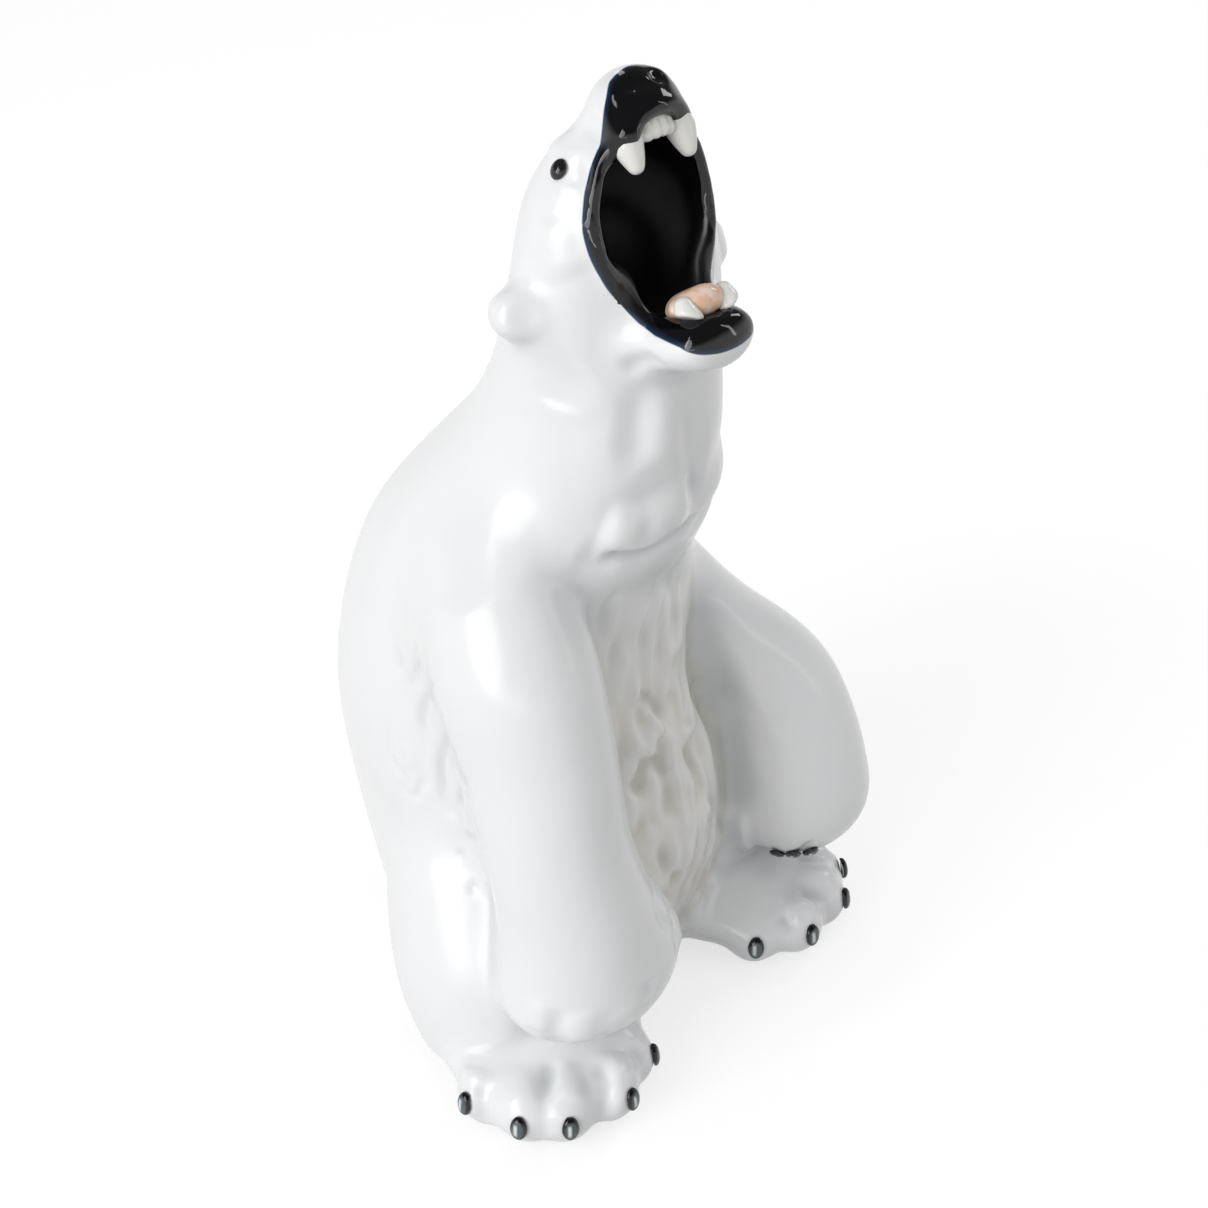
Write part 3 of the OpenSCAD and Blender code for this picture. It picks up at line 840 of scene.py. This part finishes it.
def press(line, width, depth, ends=0.25, way=None, facing=None):
    """Moves the clay along a line: in where depth is negative, out where it is positive.
    Width and depth are in millimetres, and the stroke fades over a share of its length at each end."""
    reach = width * MM
    low, high = line.min(0) - reach, line.max(0) + reach
    near = np.flatnonzero(((points > low) & (points < high)).all(1))
    if len(near) == 0:
        return
    gap, along = distance_to(line, points[near])
    weight = np.clip(1 - (gap / reach) ** 2, 0, 1) ** 2
    if ends:
        weight = weight * fade(np.minimum(along, 1 - along), -0.02, ends)
    if facing is not None:
        weight = weight * fade(normals[near] @ facing, -0.05, 0.25)
    push = normals[near] if way is None else way
    points[near] += push * (weight * depth * MM)[:, None]


def picture_ray(x, y):
    way = (x - PICTURE / 2) * VIEW_RIGHT - (y - PICTURE / 2) * VIEW_UP - LENS_PIXELS * VIEW_BACK
    return Vector(way / np.linalg.norm(way))


def seen(*places):
    """A line on the skin, drawn through places in the camera's picture."""
    hits = [shape.ray_cast(Vector(VIEW_EYE), picture_ray(*place))[0] for place in places]
    return curve_through([hit for hit in hits if hit is not None])


def other_side(line, back=0.0, up=0.0):
    """The same line on the bear's other side, moved by millimetres."""
    return np.array([shape.find_nearest(Vector((-x, y + back * MM, z + up * MM)))[0] for x, y, z in line])


TRUNK_MIDDLE = 30 * MM


def around(*places):
    """A line on the skin, drawn through places given by bearing in degrees and height in millimetres.
    Bearing 0 is the front, 90 the bear's left and 180 its back."""
    hits = []
    for bearing, height in places:
        way = Vector((math.sin(math.radians(bearing)), -math.cos(math.radians(bearing)), 0))
        start = Vector((0, TRUNK_MIDDLE, height * MM)) + way * 0.3
        hits.append(shape.ray_cast(start, -way)[0])
    return curve_through([hit for hit in hits if hit is not None])


shape = surface()
normals = normals_of(skin.data)


def settle():
    """Brings the skin up to date after a set of strokes."""
    global shape, normals
    put_points(skin.data, points)
    shape = surface()
    normals = normals_of(skin.data)


def soften_around(line, width, rounds):
    """Rubs the clay smooth along a line."""
    global points
    reach = width * MM
    near = ((points > line.min(0) - reach) & (points < line.max(0) + reach)).all(1)
    strength = np.zeros(len(points))
    strength[near] = RUB * (1 - fade(distance_to(line, points[near])[0], 0.4 * reach, reach))
    points = clay.smooth(points, strength, rounds)


def shape_head():
    """Nostrils, brow, eye sockets and cheeks, the cups of the ears, and softer corners of the mouth."""
    for side in (-1, 1):
        press(np.array([mouth_point(side * 4.6, 37.5, 7.0)] * 2), 3.4, -1.8, 0)
        press(np.array([mouth_point(side * 8.0, 38.0, 3.0)] * 2), 4.0, 0.6, 0)
    press(np.array([mouth_point(0, u, 8.0) for u in (38, 34)]), 2.4, -0.8, 0.2)
    brow = seen((549, 156), (557, 149), (568, 146))
    stop = seen((578, 126), (588, 136), (592, 150))
    socket = seen((570, 158), (577, 172), (574, 190))
    cheek = seen((560, 215), (566, 245), (580, 275))
    strokes = ((brow, 8.0, 1.7), (stop, 7.0, -1.2), (socket, 6.0, -1.0), (cheek, 14.0, 1.0))
    for line, width, depth in strokes:
        for each in (line, other_side(line)):
            press(each, width, depth, 0.3)
    settle()
    for ear in ("right_ear", "left_ear"):
        middle = points[on(ear)].mean(0)
        outward = np.sign(middle[0])
        cup = shape.find_nearest(Vector(middle + np.array([outward * 4, -9, 3]) * MM))[0]
        press(np.array([cup, cup]), 7.0, -1.6, 0)
    for side in (-1, 1):
        soften_around(ring_in_mouth(138, 156, -0.5, 0.5, side), 5.0, 25)
        soften_around(ring_in_mouth(98, 150, -5.5, 0.5, side), 6.0, 40)
    settle()


def shape_throat():
    """Long folds down the throat, under the jaw and over the breast."""
    soften_around(seen((424, 550), (442, 551), (468, 546)), 20.0, 420)
    settle()
    press(seen((587, 368), (562, 387), (555, 410)), 12.0, -1.2)
    press(seen((623, 373), (638, 363), (662, 360)), 5.0, -1.3)
    press(seen((636, 380), (637, 417), (633, 447), (644, 466)), 8.0, -1.6, 0.35)
    press(seen((662, 385), (663, 430), (663, 470)), 9.0, 1.0, 0.35)
    press(seen((690, 390), (692, 430), (693, 480), (687, 503)), 8.0, -1.6, 0.35)
    press(seen((600, 420), (610, 470), (625, 505)), 13.0, 1.0, 0.35)
    press(seen((643, 528),), 6.0, -1.0, 0)
    settle()


def shape_ruff():
    """The loose skin of the throat hangs over the breast as a rounded fold."""
    fold = seen((600, 530), (622, 532), (645, 526), (668, 512), (690, 492))
    press(fold, 13.0, 3.4, 0.2)
    settle()
    press(seen((575, 552), (600, 560), (625, 560)), 9.0, -1.2, 0.4)
    press(seen((600, 560), (620, 559), (640, 556), (662, 545), (682, 530), (700, 512)), 4.2, -3.0, 0.25)
    settle()
    press(around((4, 197), (16, 198), (28, 201), (40, 207)), 12.0, 1.8, 0.45)
    settle()
    press(around((2, 187), (14, 188), (26, 191), (40, 198)), 5.5, -1.8, 0.45)
    settle()


# The left foreleg is bent, so the fur behind it lies further back and lower
LEFT_FLANK_SHIFT = (16, -22)


def shape_flanks():
    """Scratched fur behind each foreleg."""
    grooves = [
        ((415, 642), (415, 665), (402, 697)), ((397, 645), (400, 675)),
        ((437, 677), (422, 705), (422, 735)),
        ((445, 700), (444, 740), (439, 760), (441, 790), (442, 812)),
        ((455, 752), (457, 778)), ((392, 715), (390, 755), (407, 780), (405, 792), (430, 800)),
        ((460, 788), (456, 808)), ((471, 776), (464, 788)), ((427, 778), (414, 802)),
        ((462, 837), (476, 842)), ((459, 852), (461, 860)), ((470, 892), (476, 882)),
    ]
    for places in grooves:
        line = seen(*places)
        for each in (line, other_side(line, *LEFT_FLANK_SHIFT)):
            press(each, 2.2, -0.9, 0.3)
            press(each + np.array([0, -2.2 * MM, 0]), 2.6, 0.35, 0.3)
    ridges = [((428, 700), (431, 735), (432, 770)), ((450, 815), (452, 828)), ((405, 745), (415, 770))]
    for places in ridges:
        line = seen(*places)
        for each in (line, other_side(line, *LEFT_FLANK_SHIFT)):
            press(each, 3.4, 0.6, 0.3)
    hollow = seen((410, 640), (428, 720), (446, 800), (466, 880))
    for each in (hollow, other_side(hollow, *LEFT_FLANK_SHIFT)):
        press(each, 14.0, -1.0, 0.2)
    settle()


def deepen_armpit():
    """The long pocket between the belly and the bent left foreleg, and the line down its middle."""
    line = seen((694, 606), (707, 670), (722, 735), (733, 780))
    press(line, 17.0, -5.0, 0.3)
    settle()
    return line


def fur_locks():
    """Wavy locks down the belly, in staggered rows."""
    for row in range(8):
        bearing = -19 + 6 * row
        for start in range(176 - 15 * (row % 3), 60, -44):
            bend = 3.5 if (row + start // 44) % 2 else -3.5
            lock = [(bearing, start), (bearing + bend, start - 14), (bearing - 0.4 * bend, start - 28),
                    (bearing + 0.5 * bend, start - 42)]
            press(around(*lock), 3.4, -0.9, 0.35)
            press(around(*[(b + 3, h - 6) for b, h in lock]), 3.8, 0.7, 0.35)
    settle()


# How much softer the matted fur is pressed than its list says
MATT_WIDER, MATT_FLATTER = 1.7, 0.85


def shape_belly():
    """Matted fur between the forelegs: broad pockets first, then ridges and creases."""
    soften_around(seen((728, 730), (736, 775), (736, 812)), 24.0, 260)
    settle()
    pockets = [
        (((643, 690), (652, 706), (663, 720)), 5.5, -2.6),
        (((640, 764), (650, 775), (656, 786)), 7.0, -2.4),
        (((660, 796), (668, 806), (676, 820)), 5.5, -2.0),
        (((690, 741), (697, 752), (704, 766)), 5.0, -2.4),
        (((692, 681), (696, 690), (698, 697)), 4.0, -1.8), (((699, 708), (702, 723)), 4.0, -1.6),
        (((667, 696), (673, 710)), 4.0, -1.6), (((690, 873), (697, 888)), 4.0, -1.8),
        (((622, 640), (630, 646)), 4.0, -1.2), (((643, 638), (649, 646)), 4.0, -1.2),
        (((640, 818), (652, 836)), 5.0, -1.4), (((683, 905), (689, 920)), 4.0, -1.3),
        (((706, 690), (714, 708)), 4.0, -0.9), (((690, 612), (700, 628)), 5.0, -1.0),
        (((664, 576), (690, 590)), 5.0, -1.0),
    ]
    humps = [
        (((636, 728), (646, 738), (656, 746)), 8.0, 2.4), (((694, 810), (700, 818), (706, 828)), 6.0, 1.8),
        (((672, 640), (676, 656)), 8.0, 1.2), (((650, 600), (652, 625)), 8.0, 1.0),
        (((626, 800), (640, 822)), 6.0, 1.4), (((676, 850), (682, 872)), 6.0, 1.4),
        (((712, 840), (722, 848)), 6.0, 1.6),
    ]
    for places, width, depth in pockets + humps:
        press(seen(*places), width * MATT_WIDER, depth * MATT_FLATTER, 0.35, facing=VIEW_BACK)
    soften_around(seen((648, 640), (660, 740), (686, 860)), 46.0, 8)
    settle()
    fur_locks()
    ridges = [
        ((632, 684), (643, 708), (660, 727), (675, 745)),
        ((664, 760), (679, 785), (682, 818), (686, 849), (689, 867)),
        ((684, 700), (690, 725), (684, 740)), ((708, 860), (712, 880), (706, 905), (699, 930)),
        ((626, 757), (640, 752), (658, 757)), ((698, 890), (694, 910), (692, 935)),
    ]
    creases = [
        ((620, 747), (637, 756), (659, 765), (667, 784), (676, 808)),
        ((620, 774), (630, 785), (638, 796)),
        ((679, 735), (686, 754), (695, 768), (710, 796), (725, 827), (731, 848)),
        ((641, 690), (650, 706), (664, 724)), ((656, 842), (668, 866), (680, 884)),
        ((684, 880), (684, 905), (690, 928), (690, 944)),
    ]
    for places in ridges:
        press(seen(*places), 3.6, 1.5, 0.25, facing=VIEW_BACK)
    for places in creases:
        press(seen(*places), 3.6, -1.2, 0.25, facing=VIEW_BACK)
    press(seen((741, 812), (744, 832), (750, 850)), 3.5, 2.6, 0.3, facing=VIEW_BACK)
    settle()


def shape_feet():
    """Toes of the hind feet with the clefts between them, and the toes of the right fore paw."""
    clefts = [
        ((486, 1078), (483, 1104), (488, 1124)), ((551, 1058), (547, 1087), (545, 1136)),
        ((600, 1058), (607, 1087), (601, 1120)), ((630, 1045), (645, 1062)),
    ]
    toes = [
        ((474, 1066), (468, 1082)), ((513, 1064), (519, 1090), (521, 1108)),
        ((577, 1062), (574, 1086), (571, 1104)), ((620, 1050), (626, 1066), (630, 1080)),
    ]
    strokes = [(places, 4.6, -1.7) for places in clefts] + [(places, 8.0, 1.2) for places in toes]
    for places, width, depth in strokes:
        line = seen(*places)
        for each in (line, other_side(line)):
            press(each, width, depth, 0.3)
    paw_clefts = [
        ((560, 1008), (557, 1030), (563, 1046)), ((607, 1006), (605, 1040)), ((648, 980), (650, 1000)),
    ]
    paw_toes = [((536, 1000), (538, 1032)), ((582, 1010), (584, 1042)), ((628, 1000), (630, 1028))]
    for places in paw_clefts:
        press(seen(*places), 5.0, -1.4, 0.35, facing=VIEW_BACK)
    for places in paw_toes:
        press(seen(*places), 6.0, 0.9, 0.3, facing=VIEW_BACK)
    press(seen((782, 862), (798, 852), (815, 838)), 3.0, -1.3, 0.3, facing=VIEW_BACK)
    settle()


def shape_back():
    """A shallow spine between the shoulder blades, and the top of each haunch."""
    press(around((180, 70), (180, 110), (180, 160), (181, 200)), 14.0, -0.9, 0.4)
    blade = [(36, 196), (42, 165), (40, 135)]
    haunch = [(64, 96), (80, 84), (92, 64)]
    for side in (-1, 1):
        press(around(*[(180 + side * turn, height) for turn, height in blade]), 22.0, 1.2, 0.4)
        press(around(*[(180 + side * turn, height) for turn, height in haunch]), 15.0, -0.9, 0.4)
    settle()


shape_head()
shape_throat()
shape_ruff()
shape_flanks()
armpit = deepen_armpit()
shape_belly()
shape_feet()
shape_back()


def soften_strokes():
    """Takes the sharpness off all the strokes, and keeps the seat flat on the floor."""
    global points
    points = clay.smooth(points, ALL_OVER * 0.5, 3)
    points[:, 2] = np.maximum(points[:, 2], 0)
    settle()


soften_strokes()


# Paint, by millimetres inside its border, the tints of the glaze, and shade painted into the hollows

PAINT_LAYERS = ("hollow", "ink_mm", "cream", "deep")


def ink_of(where):
    """Millimetres inside the paint's border, which are negative outside it."""
    across, up, out, reach, angle = mouth_polar(where)
    border_reach = np.interp(angle, LIP_ANGLES, LIP_REACH)
    border_out = np.interp(angle, LIP_ANGLES, LIP_DEPTH)
    outside = ((reach - border_reach) - (out - border_out)) / math.sqrt(2)
    lining = cavity_reach(out, angle) + 0.8 + 4 * (1 - fade(out, -30, -22)) > reach
    ink = np.where(lining & (out < 16), 6, -outside)
    return np.where(HEAD & (out > CAVITY_END), ink, -20)


def paint_skin():
    """Writes the hollows' greyer colour, part glaze pooled there and part painted shade, strongest in the
    armpit; where the paint lies; and how cream the belly and dull the mouth are.
    """
    mesh = skin.data
    broad = clay.smooth(points, ALL_OVER * RUB, 45)
    depth = ((broad - points) * normals).sum(1) / MM
    # Painted shade: the hollows take the darker pooled colour by their depth, part glaze pooling and part
    # shade, and the armpit pocket takes it as shade alone
    armpit_shade = 1 - fade(distance_to(armpit, points)[0], 4 * MM, 17 * MM)
    hollow = np.maximum(np.clip(depth / 1.2, 0, 1), 0.9 * armpit_shade)
    write_attribute(mesh, "hollow", clay.smooth(hollow, ALL_OVER * 0.6, 5))
    write_attribute(mesh, "ink_mm", np.clip(ink_of(points), -20, 20))
    across, up, out, reach, angle = mouth_polar(points)
    lining = HEAD & (reach < cavity_reach(out, angle) + 4) & (out > CAVITY_END)
    write_attribute(mesh, "deep", lining * (1 - fade(out, -22, -10)))
    x, y, z = (points / MM).T
    belly = fade(-normals[:, 1], 0.0, 0.5) * fade(z, 8, 40) * on("torso_casting")
    belly = belly * (1 - fade(z, 120, 175)) * (1 - fade(np.abs(x - 4), 26, 48))
    cream = clay.smooth(belly, ALL_OVER * RUB, 10) * (0.35 + 0.4 * np.clip(depth / 0.6 + 0.4, 0, 1))
    write_attribute(mesh, "cream", np.clip(cream, 0, 1))


paint_skin()


# The skin is parted along the castings' seams, and each part is closed under its rim

SEAM_TURN_IN = 2.5 * MM


def seam_loops(faces):
    """The open edges of a set of faces, as loops of points."""
    heads, tails = faces.ravel(), np.roll(faces, -1, axis=1).ravel()
    size = int(faces.max()) + 1
    is_open = ~np.isin(heads.astype(np.int64) * size + tails, tails.astype(np.int64) * size + heads)
    follow = {}
    for head, tail in zip(heads[is_open].tolist(), tails[is_open].tolist()):
        follow.setdefault(head, []).append(tail)
    loops = []
    while follow:
        start = next(iter(follow))
        loop, here = [], start
        while here in follow:
            loop.append(here)
            onward = follow[here].pop()
            if not follow[here]:
                del follow[here]
            here = onward
        loops.append(loop)
    return loops


def closed_part(spots, lay, faces):
    """Turns each open rim in under the skin and closes it around its middle."""
    spots, lay, faces = spots.tolist(), lay.tolist(), faces.tolist()
    for loop in seam_loops(np.array(faces)):
        first = len(spots)
        for spot in loop:
            spots.append([p - SEAM_TURN_IN * n for p, n in zip(spots[spot], lay[spot])])
            lay.append(lay[spot])
        hub = len(spots)
        spots.append(np.mean(spots[first:], axis=0).tolist())
        lay.append([0.0, 0.0, 1.0])
        for k, head in enumerate(loop):
            after = (k + 1) % len(loop)
            tail = loop[after]
            faces.append([tail, head, first + k, first + after])
            faces.append([first + after, first + k, hub])
    return spots, lay, faces


def part_skin():
    """Parts the skin into one closed piece for each casting, shaded as the whole skin is."""
    mesh = skin.data
    corners = np.empty(len(mesh.loops), np.int32)
    mesh.loops.foreach_get("vertex_index", corners)
    corners = corners.reshape(-1, 4)
    face_casting = np.sort(casting[corners], axis=1)[:, 1]
    paint = {}
    for name in PAINT_LAYERS:
        paint[name] = np.empty(len(mesh.vertices), np.float32)
        mesh.attributes[name].data.foreach_get("value", paint[name])
    for number, node in enumerate(CASTINGS):
        used, faces = np.unique(corners[face_casting == number], return_inverse=True)
        spots, lay, faces = closed_part(points[used], normals[used], faces.reshape(-1, 4))
        part = bpy.data.meshes.new(node + "_skin")
        part.from_pydata(spots, [], faces)
        for name, values in paint.items():
            write_attribute(part, name, np.concatenate([values[used], np.zeros(len(spots) - len(used))]))
        piece = bpy.data.objects.new(node + "_skin", part)
        bpy.context.scene.collection.objects.link(piece)
        finished(piece, node + "_skin", PORCELAIN, "white_porcelain", node)
        part.normals_split_custom_set_from_vertices(lay)
    bpy.data.objects.remove(skin)


part_skin()


# Small pieces: each is the node's own form in finer clay
SPRIG_RUB = 0.6


def fine_copy(node, grain, rounds, swell=0.0):
    """A smoothed copy of a node, swollen a little where its smoothing took too much."""
    piece = remeshed(welded(copied(node)), grain)
    mesh = piece.data
    small = Clay(mesh)
    put_points(mesh, small.smooth(points_of(mesh), np.full(small.count, SPRIG_RUB), rounds))
    put_points(mesh, points_of(mesh) + swell * MM * normals_of(mesh))
    return piece


def paint_claw(mesh):
    """Black round the rim of the claw, and a painted highlight, a pale band beside its ridge."""
    spots = points_of(mesh)
    middle = (spots.max(0) + spots.min(0)) / 2
    ways = np.linalg.svd(spots - spots.mean(0), full_matrices=False)[2]
    along, across = ((spots - middle) @ ways[0], (spots - middle) @ ways[1])
    along, across = along / np.abs(along).max(), across / np.abs(across).max()
    write_attribute(mesh, "rim", fade(np.hypot(along, across), 0.60, 0.82))
    # Painted highlight: the pale band beside the ridge stands in for a reflection of the light
    highlight_streak = (1 - fade(np.abs(across - 0.2), 0.10, 0.30)) * (1 - fade(np.abs(along), 0.30, 0.62))
    write_attribute(mesh, "highlight_streak", highlight_streak)


for jaw, rounds, swell in (("upper", 34, 0.45), ("lower", 12, 0.55)):
    for side in ("right", "left"):
        node = f"{jaw}_{side}_canine"
        finished(fine_copy(node, 0.3 * MM, rounds, swell), node + "_glazed", TOOTH, "tooth_glaze", node)
incisors = fine_copy("upper_incisors", 0.3 * MM, 10, 0.8)
finished(incisors, "upper_incisors_glazed", TOOTH, "tooth_glaze", "upper_incisors")
finished(fine_copy("tongue", 0.5 * MM, 12), "tongue_glazed", TONGUE, "tongue_glaze", "tongue")
for side in ("right", "left"):
    finished(fine_copy(side + "_eye", 0.3 * MM, 6), side + "_eye_glazed", EYE, "black_glaze", side + "_eye")
    for kind, count in (("hind", 5), ("fore", 3)):
        for number in range(1, count + 1):
            node = f"{side}_{kind}_claw_{number}"
            piece = fine_copy(node, 0.4 * MM, 5)
            paint_claw(piece.data)
            finished(piece, node + "_glazed", CLAW, "black_glaze", node)

bpy.context.view_layer.update()
